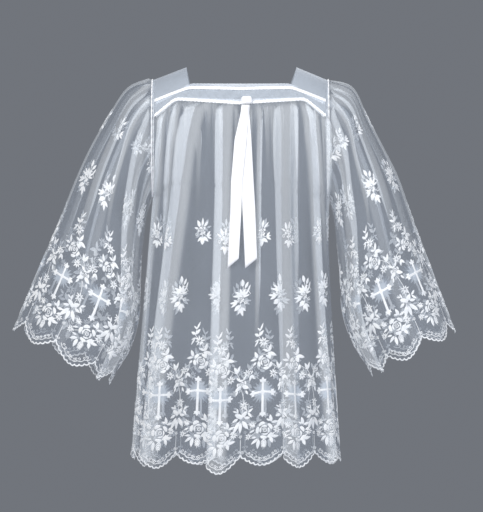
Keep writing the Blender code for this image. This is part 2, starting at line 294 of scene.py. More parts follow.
# Columns: turn at the seam and at the hem (-1 left edge, 1 right edge), half width in
# turns, how far the fold leans over in turns at the seam and at the hem, height of its
# ridge, and where it ends
BODY_FOLDS = {
    "front": (
        (-0.60, -0.93, 0.034, -0.075, -0.050, 0.007, 1.4),
        (-0.44, -0.74, 0.026, -0.062, -0.020, 0.006, 0.50),
        (-0.21, -0.62, 0.048, -0.135, -0.105, 0.013, 1.4),
        (-0.080, -0.105, 0.036, -0.092, -0.080, 0.010, 1.4),
        (0.145, 0.118, 0.013, 0.027, 0.022, 0.004, 0.75),
        (0.355, 0.350, 0.044, -0.115, -0.052, 0.011, 1.4),
        (0.415, 0.440, 0.014, 0.030, 0.012, 0.004, 0.65),
        (0.470, 0.700, 0.036, 0.088, 0.062, 0.010, 1.4),
        (0.620, 0.880, 0.028, -0.066, -0.020, 0.006, 0.50),
        (0.800, 0.950, 0.045, 0.112, 0.030, 0.009, 0.42),
    ),
    "back": (
        (0.590, 0.930, 0.034, 0.075, 0.050, 0.007, 1.4),
        (0.450, 0.740, 0.026, 0.062, 0.020, 0.006, 0.55),
        (0.220, 0.620, 0.048, 0.132, 0.105, 0.013, 1.4),
        (0.085, 0.105, 0.036, 0.092, 0.080, 0.010, 1.4),
        (-0.140, -0.120, 0.013, -0.027, -0.022, 0.004, 0.70),
        (-0.345, -0.350, 0.044, -0.112, -0.052, 0.011, 1.4),
        (-0.480, -0.700, 0.036, -0.088, -0.062, 0.010, 1.4),
        (-0.630, -0.880, 0.028, 0.066, 0.020, 0.006, 0.45),
        (-0.800, -0.950, 0.045, -0.112, -0.030, 0.009, 0.42),
    ),
}
# Columns: turn, how much lower than the level the hem hangs there
HEM_SAG = {
    "front": np.array((
        (-1.00, -0.008),
        (-0.62, 0.005),
        (-0.48, 0.002),
        (-0.28, -0.009),
        (-0.17, -0.006),
        (-0.09, 0.014),
        (0.03, 0.004),
        (0.15, -0.007),
        (0.32, -0.004),
        (0.42, 0.002),
        (0.66, -0.008),
        (0.80, -0.015),
        (1.00, -0.008),
    )),
    "back": np.array((
        (-1.00, -0.008),
        (-0.60, 0.006),
        (-0.20, 0.008),
        (0.12, 0.011),
        (0.50, 0.006),
        (1.00, -0.008),
    )),
}
FOLD_SPREAD = 0.45
FOLD_START = 0.003
FOLD_RISE = 0.028
FOLD_FADE = 0.30
FOLD_TIP = 0.35
# How far a fold must lean to be painted fully pale, and how far around it that painted highlight
# reaches and fades
FULL_LEAN = 1.5
FOLD_HIGHLIGHT_REACH = 1.2
FOLD_HIGHLIGHT_FADE = 0.5
# Columns: height, waves, their start, their drift down the cloth
RIPPLES = {
    "body": (0.0035, 23.0, 1.3, 2.0),
    "sleeve": (0.003, 19.0, 0.7, 0.0),
}
RIPPLE_RISE = 0.3
EDGE_FADE = 0.06
# Columns: how many pleats, least and most half width in turns, where they end
GATHERS = {
    "body": (38, 0.009, 0.018, (0.04, 0.06, 0.08, 0.11, 0.16, 0.24, 0.34)),
    "sleeve": (13, 0.016, 0.030, (0.07, 0.11, 0.16, 0.24, 0.34)),
}
GATHER_SPAN = 0.97
GATHER_SPREAD = 1.12
GATHER_LEAN = (1.5, 2.4)
GATHER_RIDGE = (0.0015, 0.0040)


def gathers(kind, seed):
    """Small pleats under a gathered seam, drawn at random as rows of a table of folds."""
    draw = random.Random(seed)
    count, least, most, ends = GATHERS[kind]
    rows = []
    for number in range(count):
        place = -GATHER_SPAN + 2 * GATHER_SPAN * (number + draw.uniform(0.1, 0.9)) / count
        reach = draw.uniform(least, most)
        lean = reach * draw.uniform(*GATHER_LEAN) * draw.choice((-1, 1))
        ridge = draw.uniform(*GATHER_RIDGE)
        end = draw.choice(ends)
        rows.append((place, place * GATHER_SPREAD, reach, lean, 0.0, ridge, end))
    return tuple(rows)


def fold_shapes(rows, turn, down):
    """How far the folds lean the cloth along, how far they lift it, how thick it lies in layers:
    the mask of a painted highlight on the net.
    """
    lean_over = np.zeros_like(turn)
    lift = np.zeros_like(turn)
    thick = np.zeros_like(turn)
    for seam, hem, reach, lean_seam, lean_hem, ridge, end in rows:
        middle = seam + (hem - seam) * down ** FOLD_SPREAD
        lean = lean_seam + (lean_hem - lean_seam) * down
        strength = smooth_step((down + FOLD_START) / min(FOLD_RISE, end / 4))
        strength *= smooth_step((end - down) / min(FOLD_FADE, end))
        place = (turn - middle) / reach
        lean_over += lean * strength * bump(place)
        lift += ridge * strength * bump(place + math.copysign(FOLD_TIP, lean))
        # The mask of the painted highlight: paler net is painted over and around folds that lean
        # far over
        weight = min(1.0, abs(lean) / (FULL_LEAN * reach))
        thick += weight * strength * smooth_step((FOLD_HIGHLIGHT_REACH - np.abs(place)) / FOLD_HIGHLIGHT_FADE)
    return lean_over, lift, thick


def ripples(kind, turn, down):
    """Slow waves between the folds."""
    height, waves, begin, drift = RIPPLES[kind]
    return height * smooth_step(down / RIPPLE_RISE) * np.sin(waves * turn + begin + drift * down)


def edge_fade(turn):
    """Cloth lies on its form along its side seams."""
    return smooth_step((1.0 - np.abs(turn)) / EDGE_FADE)


def body_cloth(side):
    turns = np.linspace(-1.0, 1.0, CURVE_SAMPLES)
    folds = BODY_FOLDS[side] + gathers("body", "gathers of the " + side)
    sag = np.interp(turns, HEM_SAG[side][:, 0], HEM_SAG[side][:, 1])
    foot = HEM_LEVEL - SCALLOP_DEPTH - sag
    hand = -FACING[side]
    rows = []
    for row in range(FINE_ROWS + 1):
        down = row / FINE_ROWS
        lean_over, lift, thick = fold_shapes(folds, turns, down)
        lift = (lift + ripples("body", turns, down)) * edge_fade(turns)
        share = np.sin((turns + lean_over) * math.pi / 2)
        seam = yoke_height(side, share, 2) - SEAM_GAP
        z = seam + (foot - seam) * down
        points = form_points(side, hand * share, z, lift)
        # The fourth column is the mask of the painted highlight
        rows.append(np.hstack([points, thick[:, None]]))
    return Cloth(rows)


# --- Folds of the sleeves ---------------------------------------------------------------

# Columns as for the bodies: 0 is the ridge, positive turns are to the front, and 1 is
# under the arm
SLEEVE_FOLDS = (
    (0.03, 0.05, 0.026, 0.060, 0.034, 0.005, 1.4),
    (0.11, 0.36, 0.028, 0.072, 0.036, 0.007, 0.80),
    (0.22, 0.58, 0.016, -0.038, -0.014, 0.004, 0.65),
    (0.36, 0.86, 0.046, -0.125, -0.100, 0.010, 1.4),
    (-0.10, -0.18, 0.026, -0.060, -0.026, 0.007, 1.4),
    (-0.30, -0.44, 0.030, 0.076, 0.034, 0.008, 1.4),
    (-0.48, -0.66, 0.018, -0.042, -0.014, 0.005, 0.70),
    (-0.66, -0.86, 0.038, 0.096, 0.044, 0.008, 1.4),
)


def sleeve_cloth(hand):
    turns = np.linspace(-1.0, 1.0, CURVE_SAMPLES)
    folds = SLEEVE_FOLDS + gathers("sleeve", "gathers of the " + hand)
    table = SLEEVES[hand]
    way = {"left": 1.0, "right": -1.0}[hand]
    longest = 1.0 + SCALLOP_DEPTH / SLEEVE_LENGTH
    rows = []
    for row in range(FINE_ROWS + 1):
        down = longest * row / FINE_ROWS
        mixed = smooth_rows(table, down * (len(table) - 1))
        ridge = np.array((mixed[0], mixed[5], mixed[1]))
        under = np.array((mixed[2], mixed[5], mixed[3]))
        reach = (ridge - under) / 2
        half_height = np.linalg.norm(reach)
        front_turn = way * turns
        lean_over, lift, thick = fold_shapes(folds, front_turn, min(down, 1.0))
        lift = (lift + ripples("sleeve", turns, down)) * edge_fade(turns)
        angle = (front_turn + lean_over) * math.pi
        long_way = np.outer((1.0 + lift / half_height) * np.cos(angle), reach)
        deep_way = np.outer(-(mixed[4] + lift) * np.sin(angle), (0.0, 1.0, 0.0))
        points = (ridge + under) / 2 + long_way + deep_way
        # The fourth column is the mask of the painted highlight
        rows.append(np.hstack([points, thick[:, None]]))
    return Cloth(rows)


def hem_edge(across, phase=0.0):
    """Height of the scalloped edge above the hem line."""
    place = np.abs(2.0 * ((across / REPEAT + phase) % 1.0) - 1.0)
    return SCALLOP_DEPTH * place ** SCALLOP_POWER


# --- Materials --------------------------------------------------------------------------

NET_CELLS = 900.0
TINT_STOPS = (0.35, 0.65)


def principled(name, colour, roughness, alpha=1.0, sheen=0.0, coat=0.0):
    made = bpy.data.materials.new(name)
    made.use_nodes = True
    nodes = made.node_tree.nodes
    shader = nodes["Principled BSDF"]
    shader.inputs["Base Color"].default_value = (*colour, 1.0)
    shader.inputs["Roughness"].default_value = roughness
    shader.inputs["Alpha"].default_value = alpha
    shader.inputs["Sheen Weight"].default_value = sheen
    shader.inputs["Coat Weight"].default_value = coat
    return made, nodes, made.node_tree.links, shader


def coordinates(nodes, links, scale=(1.0, 1.0, 1.0)):
    place = nodes.new("ShaderNodeTexCoord")
    mapping = nodes.new("ShaderNodeMapping")
    mapping.inputs["Scale"].default_value = scale
    links.new(place.outputs["Object"], mapping.inputs["Vector"])
    return mapping.outputs["Vector"]


def tint(nodes, links, shader, vector, dark, light, scale):
    """A slow change of shade over the cloth."""
    noise = nodes.new("ShaderNodeTexNoise")
    noise.inputs["Scale"].default_value = scale
    noise.inputs["Detail"].default_value = 3.0
    ramp = nodes.new("ShaderNodeValToRGB")
    for stop, place, colour in zip(ramp.color_ramp.elements, TINT_STOPS, (dark, light)):
        stop.position = place
        stop.color = (*colour, 1.0)
    links.new(vector, noise.inputs["Vector"])
    links.new(noise.outputs["Fac"], ramp.inputs["Fac"])
    links.new(ramp.outputs["Color"], shader.inputs["Base Color"])


def add_bump(nodes, links, shader, height, strength, distance):
    relief = nodes.new("ShaderNodeBump")
    relief.inputs["Strength"].default_value = strength
    relief.inputs["Distance"].default_value = distance
    links.new(height, relief.inputs["Height"])
    links.new(relief.outputs["Normal"], shader.inputs["Normal"])


def net_material(name, alpha, thin, gathered=None):
    """Sheer net: dim where it lies single and flat; where its folds lie in layers its colour is
    painted paler, a painted highlight.
    """
    made, nodes, links, shader = principled(name, thin, 0.75, alpha, sheen=0.3)
    vector = coordinates(nodes, links)
    tint(nodes, links, shader, vector, [0.92 * c for c in thin], [1.08 * c for c in thin], 9.0)
    # Painted highlight: the colour given as gathered is mixed in where the mask says the folds lie
    # in layers
    if gathered:
        layer = nodes.new("ShaderNodeAttribute")
        layer.attribute_name = "fold_highlight"
        blend = nodes.new("ShaderNodeMix")
        blend.data_type = "RGBA"
        shade = shader.inputs["Base Color"].links[0].from_socket
        links.new(layer.outputs["Fac"], blend.inputs[0])
        links.new(shade, blend.inputs[6])
        blend.inputs[7].default_value = (*gathered, 1.0)
        links.new(blend.outputs[2], shader.inputs["Base Color"])
    cells = nodes.new("ShaderNodeTexVoronoi")
    cells.feature = "DISTANCE_TO_EDGE"
    cells.inputs["Scale"].default_value = NET_CELLS
    links.new(vector, cells.inputs["Vector"])
    add_bump(nodes, links, shader, cells.outputs["Distance"], 0.35, 0.0004)
    return made


def thread_material(name, colour, roughness, sheen, shades, waves, distortion, strength):
    """White thread: a slow change of shade, and slanting bands for the threads."""
    made, nodes, links, shader = principled(name, colour, roughness, sheen=sheen)
    vector = coordinates(nodes, links)
    tint(nodes, links, shader, vector, *shades)
    threads = nodes.new("ShaderNodeTexWave")
    threads.bands_direction = "DIAGONAL"
    threads.inputs["Scale"].default_value = waves
    threads.inputs["Distortion"].default_value = distortion
    links.new(vector, threads.inputs["Vector"])
    add_bump(nodes, links, shader, threads.outputs["Fac"], strength, 0.0003)
    return made


def satin_material():
    made, nodes, links, shader = principled(
        "satin_ribbon", (0.88, 0.88, 0.90), 0.32, sheen=0.2, coat=0.15)
    shader.inputs["Anisotropic"].default_value = 0.4
    vector = coordinates(nodes, links, (1.0, 1.0, 0.08))
    tint(nodes, links, shader, vector, (0.84, 0.84, 0.87), (0.90, 0.90, 0.92), 70.0)
    threads = nodes.new("ShaderNodeTexNoise")
    threads.inputs["Scale"].default_value = 900.0
    links.new(vector, threads.inputs["Vector"])
    add_bump(nodes, links, shader, threads.outputs["Fac"], 0.12, 0.0002)
    return made


MATERIALS = {
    # The lace net's last colour is a painted highlight, laid where its folds lie in layers
    "lace_net": net_material("lace_net", 0.21, (0.34, 0.385, 0.45), (0.92, 0.96, 1.0)),
    "plain_net": net_material("plain_net", 0.40, (0.62, 0.68, 0.76)),
    "embroidery": thread_material(
        "embroidery", (0.90, 0.91, 0.92), 0.55, 0.2,
        ((0.75, 0.77, 0.80), (0.87, 0.88, 0.89), 60.0), 420.0, 2.5, 0.5),
    "bias_tape": thread_material(
        "bias_tape", (0.95, 0.95, 0.97), 0.7, 0.25,
        ((0.90, 0.91, 0.94), (0.97, 0.97, 0.98), 45.0), 330.0, 0.0, 0.35),
    "satin_ribbon": satin_material(),
}


# --- Meshes -----------------------------------------------------------------------------

def new_object(name, data):
    """A new object, linked into the scene."""
    made = bpy.data.objects.new(name, data)
    bpy.context.scene.collection.objects.link(made)
    return made


def mesh_piece(name, points, faces, slot, replaces=()):
    """A smooth mesh in one material, which rides on the part's only body."""
    data = bpy.data.meshes.new(name)
    corners = [[int(corner) for corner in face] for face in faces]
    data.from_pydata(np.asarray(points).tolist(), [], corners)
    data.shade_smooth()
    data.materials.append(MATERIALS[slot])
    piece = new_object(name, data)
    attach(piece, "root")
    if replaces:
        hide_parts(*replaces)
    return piece


def grid_faces(rows, columns, closed=False):
    """Four-sided faces between rows of points; closed joins the last column to the first."""
    wide = columns if closed else columns - 1
    r, c = np.meshgrid(np.arange(rows - 1), np.arange(wide), indexing="ij")
    right = (c + 1) % columns
    quads = [r * columns + c, (r + 1) * columns + c, (r + 1) * columns + right,
             r * columns + right]
    return np.stack(quads, axis=-1).reshape(-1, 4)


def net_piece(name, cloth, rows, phase, closed, node):
    """The net itself: an open sheet from its seam down to the scalloped edge."""
    count = REPEATS * NET_COLUMNS_PER_REPEAT
    columns = count if closed else count + 1
    across = (np.arange(columns) / count - 0.5) * CLOTH_WIDTH
    foot = hem_edge(across, phase)
    top = cloth.length_at(across)
    share = np.linspace(1.0, 0.0, rows + 1)[:, None]
    above = foot + (top - foot) * share
    wide = np.broadcast_to(across, above.shape)
    points = cloth.place(wide, above).reshape(-1, 3)
    piece = mesh_piece(name, points, grid_faces(rows + 1, columns, closed), "lace_net", (node,))
    # The mask of the painted highlight, kept on the net as a colour attribute
    thick = cloth.fold_highlight_at(wide, above).reshape(-1)
    shades = np.stack([thick, thick, thick, np.ones_like(thick)], axis=1)
    layer = piece.data.color_attributes.new("fold_highlight", "FLOAT_COLOR", "POINT")
    layer.data.foreach_set("color", shades.ravel())
    return piece


# --- Embroidery -------------------------------------------------------------------------

# Columns: share of a leaf's length, share of its width
LEAF = np.array(((0.0, 0.15), (0.18, 0.75), (0.45, 1.0), (0.75, 0.68), (1.0, 0.06)))
# Columns: where a leaflet grows along its leaf, its length, both as shares of the leaf
LEAFLETS = ((0.08, 0.42), (0.26, 0.40), (0.44, 0.34), (0.60, 0.26))
# Columns: petals, radius and width as shares of the rose, degrees that a petal spans
ROSE_RINGS = ((4, 0.46, 0.20, 78), (5, 0.79, 0.38, 60))
# Columns: degrees from an arm of the cross, share of the full length
RAYS = ((18, 0.86), (36, 1.0), (54, 1.0), (72, 0.86))
# Columns: angle and length of an arm
CROSS_ARMS = ((90, 32.0), (0, 29.0), (180, 29.0), (270, 57.0))
# Columns: share of an arm's length, width there
CROSS_BAR = np.array(((0.0, 6.6), (0.25, 5.6), (0.5, 5.6), (0.7, 5.8), (0.84, 6.0)))


class Needle:
    """Raised satin stitches drawn flat in millimetres: x across, y up, and a height."""

    def __init__(self):
        self.points = []
        self.faces = []
        self.count = 0

    def stroke(self, path, widths, crown=0.8, foot=0.15):
        """One run of stitches along a path, high in its middle and low at its rims."""
        path = np.asarray(path, dtype=float)
        widths = np.broadcast_to(np.asarray(widths, dtype=float), (len(path),))
        along = np.gradient(path, axis=0)
        along /= np.maximum(np.linalg.norm(along, axis=1, keepdims=True), 1e-9)
        left = np.stack([-along[:, 1], along[:, 0]], axis=1)
        side = left * widths[:, None] / 2
        rim = np.full((len(path), 1), foot)
        top = foot + (crown - foot) * np.sqrt(widths / widths.max())[:, None]
        rows = np.stack([
            np.hstack([path + side, rim]), np.hstack([path, top]), np.hstack([path - side, rim]),
        ], axis=1)
        self.points.append(rows.reshape(-1, 3))
        for k in range(len(path) - 1):
            a = self.count + 3 * k
            self.faces.append((a, a + 1, a + 4, a + 3))
            self.faces.append((a + 1, a + 2, a + 5, a + 4))
        self.count += 3 * len(path)

    def leaf(self, x, y, angle, length, width, bend=0.0, crown=0.9):
        """A leaf or petal from its foot to its point."""
        share, wide = LEAF.T
        turn = math.radians(angle)
        ahead = np.array((math.cos(turn), math.sin(turn)))
        aside = np.array((-ahead[1], ahead[0]))
        path = (np.array((x, y)) + np.outer(share * length, ahead)
                + np.outer(bend * length * share ** 2, aside))
        self.stroke(path, width * wide, crown)

    def arc(self, x, y, radius, start, end, width, crown=0.8, steps=7, grow=0.0):
        turns = np.radians(np.linspace(start, end, steps))
        reach = radius * (1.0 + grow * np.linspace(0.0, 1.0, steps))
        path = np.stack([x + reach * np.cos(turns), y + reach * np.sin(turns)], axis=1)
        taper = np.sin(np.linspace(0.12, math.pi - 0.12, steps)) ** 0.5
        self.stroke(path, width * taper, crown)

    def stem(self, *points, width=1.2):
        self.stroke(bend_through(points), width, crown=0.6)

    def star(self, x, y, size, angle):
        """A small flower of eight pointed petals."""
        for k in range(8):
            way = angle + 45.0 * k
            length = size * (0.86 + 0.14 * math.cos(2.4 * k))
            self.leaf(*away(x, y, 0.16 * size, way), way, length * 0.86, size * 0.28)

    def serrated(self, x, y, size, angle):
        """A leaf of small leaflets that close up to a point."""
        turn = math.radians(angle)
        ahead = np.array((math.cos(turn), math.sin(turn)))
        for share, length in LEAFLETS:
            spot = np.array((x, y)) + share * size * ahead
            for side in (-1, 1):
                self.leaf(*spot, angle + side * 42, length * size, 0.105 * size, -0.1 * side)
        self.leaf(*(np.array((x, y)) + 0.1 * size * ahead), angle, 0.9 * size, 0.09 * size)

    def rose(self, x, y, size, angle):
        """A full-blown rose: a coiled heart and two rings of broad petals with gaps."""
        self.arc(x, y, 0.07 * size, angle, angle + 540, 0.10 * size, 1.1, 14, grow=2.9)
        for ring, (petals, radius, width, span) in enumerate(ROSE_RINGS):
            for k in range(petals):
                way = angle + 37 * ring + 360.0 * k / petals + 9 * math.sin(2.6 * k)
                shift = 0.10 * size * ring
                self.arc(*away(x, y, shift, way), radius * size - shift, way - span / 2,
                         way + span / 2, width * size, 1.1 - 0.2 * ring, 7)

    def curl(self, x, y, size, angle, hand=1.0):
        """A thin scroll that winds inward."""
        share = np.linspace(0.0, 1.0, 11)
        turns = np.radians(angle + hand * 400.0 * share)
        reach = size * (1.0 - 0.82 * share)
        path = np.stack([x + reach * np.cos(turns), y + reach * np.sin(turns)], axis=1)
        self.stroke(path, 1.3, crown=0.6)

    def rays(self, x, y, size, angle):
        """Broad flat leaves that shine out between the arms of the cross."""
        inner = 0.10 * size
        for quarter in range(4):
            for step, reach in RAYS:
                way = angle + 90 * quarter + step
                self.leaf(*away(x, y, inner, way), way, size * reach - inner, 0.21 * size,
                          crown=0.4)

    def cross(self, x, y, size, angle):
        """A Latin cross with three buds at each end."""
        for way, length in CROSS_ARMS:
            turn = math.radians(way + angle)
            ahead = np.array((math.cos(turn), math.sin(turn))) * size
            aside = np.array((-ahead[1], ahead[0]))
            middle = np.array((x, y))
            path = [middle + share * length * ahead for share in CROSS_BAR[:, 0]]
            self.stroke(path, CROSS_BAR[:, 1] * size, crown=1.3)
            neck = middle + (length - 8.5) * ahead
            self.stroke([neck - 7.0 * aside, neck - 3.0 * aside, neck + 3.0 * aside,
                         neck + 7.0 * aside], np.array((1.6, 3.6, 3.6, 1.6)) * size, crown=1.2)
            for side in (-1, 1):
                self.leaf(*(neck + side * 1.5 * aside), way + angle + side * 48,
                          8.5 * size, 4.4 * size)
            self.leaf(*(neck - 0.5 * ahead), way + angle, 10.5 * size, 7.0 * size)

    def drawing(self):
        return np.vstack(self.points), np.array(self.faces)


def bend_through(points, steps=4):
    """A smooth path through a few points."""
    points = np.array([tuple(p) for p in points], dtype=float)
    if len(points) == 2:
        share = np.linspace(0.0, 1.0, steps)[:, None]
        return points[0] + (points[1] - points[0]) * share
    count = steps * (len(points) - 1)
    places = np.linspace(0.0, len(points) - 1, count + 1)
    return np.array([smooth_rows(points, place) for place in places])


# The drawings, in millimetres. Leaves: across, above, angle, length, width.
# Flowers: kind, across, above, size, angle. Stems run through their own points.
BORDER_LEAVES = (
    (-11, 129, 140, 13, 6.5), (-11, 129, 42, 16, 7.5), (-8, 141, 128, 11, 4.0),
    (-8, 141, 62, 18, 4.5), (-9, 121, 190, 12, 4.0), (-12, 119, 232, 15, 4.5),
    (13, 92, 72, 18, 7.5), (14, 91, -27, 19, 8.5), (13, 90, -76, 13, 8.0), (12, 92, 158, 14, 6.0),
    (-14, 79, 106, 17, 7.5), (-15, 77, 176, 15, 6.0), (-16, 70, 214, 10, 6.0),
    (38, 55, 108, 17, 7.0), (38, 55, 62, 18, 7.0), (33, 60, -10, 8, 4.0),
    (-27, 44, -110, 14, 6.0), (-27, 44, -58, 14, 6.0), (-28, 46, 60, 9, 4.0),
    (49, 24, 212, 18, 9.0), (52, 24, -34, 18, 9.0), (46, 36, 128, 12, 5.5), (54, 36, 58, 12, 5.5),
    (41, 14, -118, 11, 5.0), (60, 12, -66, 12, 5.0),
    (-33, -40, 28, 13, 5.5), (-33, -41, -60, 15, 5.5), (-37, -34, 110, 8, 4.0),
    (41, -26, -84, 13, 4.5), (40, -34, 150, 10, 4.0),
    (50, -48, 140, 17, 10.0), (51, -48, 40, 17, 10.0), (50, -52, 92, 11, 9.0),
    (47, -56, 236, 30, 9.5), (50, -60, 262, 24, 8.5), (54, -57, -62, 25, 9.5),
    (43, -50, 196, 14, 7.0), (58, -50, -18, 14, 7.0),
    (20, -68, 95, 17, 8.0), (21, -69, 8, 16, 6.0), (17, -66, 150, 9, 5.0),
    (25, -82, 30, 12, 4.5), (-16, -76, 150, 12, 5.0), (-18, -84, 196, 13, 4.5),
    (-10, -106, 206, 18, 7.0), (-8, -108, -102, 21, 8.5), (-14, -102, 168, 12, 5.0),
    (19, -101, 0, 19, 7.5), (18, -102, -76, 15, 8.5), (20, -99, 40, 10, 5.0),
)
BORDER_FLOWERS = (
    ("cross", 0, 0, 1.0, 0),
    ("star", 0, 114, 13.5, 12),
    ("rose", 4, 68, 18.5, 20),
    ("star", 24, 43, 11.5, 8),
    ("star", -37, 50, 11, 20),
    ("rose", 50, 27, 12, 60),
    ("star", -43, -22, 11.5, 5),
    ("star", -23, -71, 9, 10),
    ("rose", 5, -88, 21, 0),
    ("star", 34, -86, 10, 0),
    ("star", -32, -96, 9, 0),
    ("serrated", 4, -106, 27, -95),
    ("star", 50, -92, 5, 45),
    ("curl", 46.5, -127, 3.0, 0),
    ("curl", 53.5, -127, 3.0, 180),
)
CROSS_RAYS = (("rays", 0, 0, 28, 0),)
BORDER_STEMS = (
    ((0, 114), (-7, 122), (-11, 129), (-8, 141)),
    ((3, 110), (9, 100), (13, 92)),
    ((0, 84), (8, 86), (13, 91)),
    ((21, 66), (32, 58), (38, 54), (47, 38)),
    ((28, 58), (25, 50), (24, 43)),
    ((-22, 62), (-34, 56), (-46, 36)),
    ((50, 14), (54, 0), (56, -16), (52, -40)),
    ((-40, -30), (-36, -38), (-42, -50)),
    ((-47, -64), (-34, -68), (-24, -71)),
    ((24, -86), (30, -88), (34, -86)),
    ((-16, -90), (-24, -94), (-32, -96)),
    ((50, -98), (50, -122), (50, -136)),
)
SPRIG_SMALL_LEAVES = (
    (-6, 9, 105, 18, 7.5), (0, 11, 82, 18, 5.5), (4, 9, 48, 15, 5.5), (-9, 5, 150, 12, 5.0),
    (11, -12, 50, 13, 5.0), (11, -13, -32, 13, 5.5), (11, -12, 8, 11, 4.0),
    (1, -16, 266, 17, 9.5), (3, -15, -46, 16, 7.5), (-1, -15, 218, 13, 6.5),
)
SPRIG_SMALL_FLOWERS = (
    ("rose", -1, 0, 10, 0),
    ("curl", -13, -7, 4.5, 40),
)
SPRIG_SMALL_STEMS = (((0, 12), (-1, 0), (1, -16)), ((2, -5), (6, -10), (11, -13)))
SPRIG_LARGE_LEAVES = (
    (2, 27, 94, 17, 8.5), (8, 22, 60, 15, 7.5), (15, 12, 66, 16, 5.0),
    (1, 4, 164, 22, 6.0), (1, 5, 136, 21, 6.5), (2, 6, 106, 18, 6.5), (4, 5, 72, 18, 6.5),
    (5, 4, 36, 19, 6.0), (5, 2, 4, 16, 5.0),
    (-8, -8, 172, 18, 6.0), (-8, -9, 204, 16, 6.0), (-8, -7, 140, 11, 5.0),
    (0, -16, 214, 17, 11.0), (1, -18, 176, 13, 7.0),
    (2, -23, -76, 21, 7.5), (3, -22, -44, 15, 6.0), (1, -23, -112, 14, 6.0),
)
SPRIG_LARGE_FLOWERS = (
    ("rose", -1, -3, 8.5, 30),
    ("curl", 14, -13, 4.5, 60),
)
SPRIG_LARGE_STEMS = (
    ((2, 8), (4, 18), (2, 28)),
    ((4, 16), (10, 18), (17, 14), (23, 5)),
    ((2, -6), (8, -10), (11, -16)),
    ((-2, -8), (1, -18), (3, -26)),
)
ROW_SMALL = 0.535
ROW_LARGE = 0.395
# Columns: how far the small sprigs are moved across, the large ones across, the small ones up
SPRIG_MOVES = {
    "front": (-0.012, -0.012, 0.000),
    "back": (0.006, 0.014, 0.020),
    "sleeve": (0.0, 0.0, 0.0),
}
SMALL_SCALLOPS = 10
CORD_BULGE = 3.4
FINE_LINE_RISE = 9.0
SCROLL_RISE = 14.5
SCROLL_SIZE = 3.4
SCROLL_PLACES = (0.14, 0.32, 0.50, 0.68, 0.86)
# The stitches stop short of the sides and of the seam
SIDE_MARGIN = 0.001
SEAM_MARGIN = 0.012


def draw_motif(leaves, flowers, stems):
    """One motif from its tables; each kind of flower is a method of the needle."""
    needle = Needle()
    for points in stems:
        needle.stem(*points)
    for x, y, angle, length, width in leaves:
        needle.leaf(x, y, angle, length, width, 0.08)
    for kind, x, y, size, angle in flowers:
        getattr(needle, kind)(x, y, size, angle)
    return needle.drawing()


def edge_place(share, rise=0.0):
    """Places along one scallop in millimetres from its cross, a rise in from the edge."""
    x = (share - 0.5) * REPEAT / MM
    lobe = SCALLOP_DEPTH / MM
    y = lobe * np.abs(2.0 * share - 1.0) ** SCALLOP_POWER - CROSS_ABOVE_HEM / MM
    slope = np.gradient(y, x)
    length = np.sqrt(1.0 + slope ** 2)
    return np.stack([x - rise * slope / length, y + rise / length], axis=1)


def draw_edge():
    """The corded edge of small scallops, a fine wavy line and its scrolls."""
    needle = Needle()
    share = np.linspace(0.0, 1.0, 8 * SMALL_SCALLOPS + 1)
    bulge = CORD_BULGE * np.abs(np.sin(math.pi * SMALL_SCALLOPS * share)) ** 0.8
    needle.stroke(edge_place(share, 1.9 - bulge), 3.1, crown=1.3, foot=0.0)
    fine = np.linspace(0.06, 0.94, 57)
    needle.stroke(edge_place(fine, FINE_LINE_RISE + np.sin(40.0 * fine)), 1.5, crown=0.6)
    for place in SCROLL_PLACES:
        near = np.array((place - 0.01, place, place + 0.01))
        x, y = edge_place(near, SCROLL_RISE)[1]
        run, climb = np.diff(edge_place(near[::2]), axis=0)[0]
        way = math.atan2(climb, run)
        tilt = math.degrees(way)
        dx, dy = SCROLL_SIZE * math.cos(way), SCROLL_SIZE * math.sin(way)
        needle.curl(x - dx, y - dy, SCROLL_SIZE, tilt - 90, hand=-1.0)
        needle.curl(x + dx, y + dy, SCROLL_SIZE, tilt - 90, hand=1.0)
    return needle.drawing()


def embroider(place, cloth, phase, moves):
    """All the stitches of one cloth, and the sheer rays behind its crosses."""
    border = draw_motif(BORDER_LEAVES, BORDER_FLOWERS, BORDER_STEMS)
    edge = draw_edge()
    small = draw_motif(SPRIG_SMALL_LEAVES, SPRIG_SMALL_FLOWERS, SPRIG_SMALL_STEMS)
    large = draw_motif(SPRIG_LARGE_LEAVES, SPRIG_LARGE_FLOWERS, SPRIG_LARGE_STEMS)
    rays = draw_motif((), CROSS_RAYS, ())
    small_move, large_move, small_lift = moves
    spots = []
    crosses = []
    for number in range(REPEATS + 1):
        middle = (number + 0.5 - phase) * REPEAT - CLOTH_WIDTH / 2
        spots.append((border, middle, CROSS_ABOVE_HEM))
        spots.append((edge, middle, CROSS_ABOVE_HEM))
        spots.append((small, middle + small_move, ROW_SMALL + small_lift))
        spots.append((large, middle + large_move - REPEAT / 2, ROW_LARGE))
        crosses.append((rays, middle, CROSS_ABOVE_HEM))
    stitches = lay_on("embroidery_" + place, cloth, spots, "embroidery")
    return [stitches, lay_on("rays_" + place, cloth, crosses, "plain_net")]


def lay_on(name, cloth, spots, slot):
    """Drawn motifs laid on the face of a cloth, cut off at its sides and at its seam."""
    points = []
    faces = []
    count = 0
    for (drawn, drawn_faces), across, above in spots:
        x = drawn[:, 0] * MM + across
        y = drawn[:, 1] * MM + above
        kept = (np.abs(x) < CLOTH_WIDTH / 2 - SIDE_MARGIN) & (y < cloth.length_at(x) - SEAM_MARGIN)
        whole = drawn_faces[kept[drawn_faces].all(axis=1)]
        if len(whole) == 0:
            continue
        used = np.unique(whole)
        fresh = np.full(len(x), -1)
        fresh[used] = np.arange(len(used))
        spot = cloth.place(x[used], np.maximum(y[used], 0.0), drawn[used, 2] * MM)
        spot[:, 2] += np.minimum(y[used], 0.0)
        points.append(spot)
        faces.append(fresh[whole] + count)
        count += len(used)
    return mesh_piece(name, np.vstack(points), np.vstack(faces), slot)


# --- Yokes, shoulders and tapes ---------------------------------------------------------

YOKE_COLUMNS = 160
YOKE_ROWS = 14
